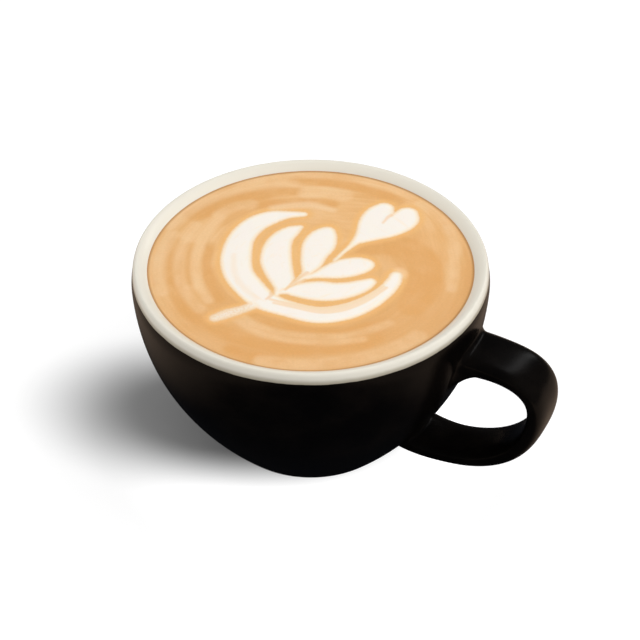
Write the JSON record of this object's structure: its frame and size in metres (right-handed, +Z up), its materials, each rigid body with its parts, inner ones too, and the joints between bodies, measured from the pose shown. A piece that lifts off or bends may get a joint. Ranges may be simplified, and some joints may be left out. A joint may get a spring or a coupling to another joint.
{
  "type": "cup of cappuccino",
  "caption": "Round glazed stoneware cup with a strap handle, filled with cappuccino whose milk foam is poured in a tulip pattern.",
  "frame": {"origin": "centre of the underside of the cup's foot, on the cup's axis", "axes": "+Z up along the cup's axis, +X towards the handle, +Y across the handle"},
  "size_m": [0.1173, 0.095, 0.0577],
  "materials": {
    "stoneware": "satin black glaze outside, glossy off-white glaze on the lip and inside",
    "coffee": "coffee with a golden brown crema, softly shining",
    "milk_foam": "fine milk foam, off-white, edges blurred into the crema"
  },
  "bodies": {
    "root": {"cup": "stoneware", "coffee": "coffee", "milk_foam": "milk_foam"}
  },
  "joints": []
}
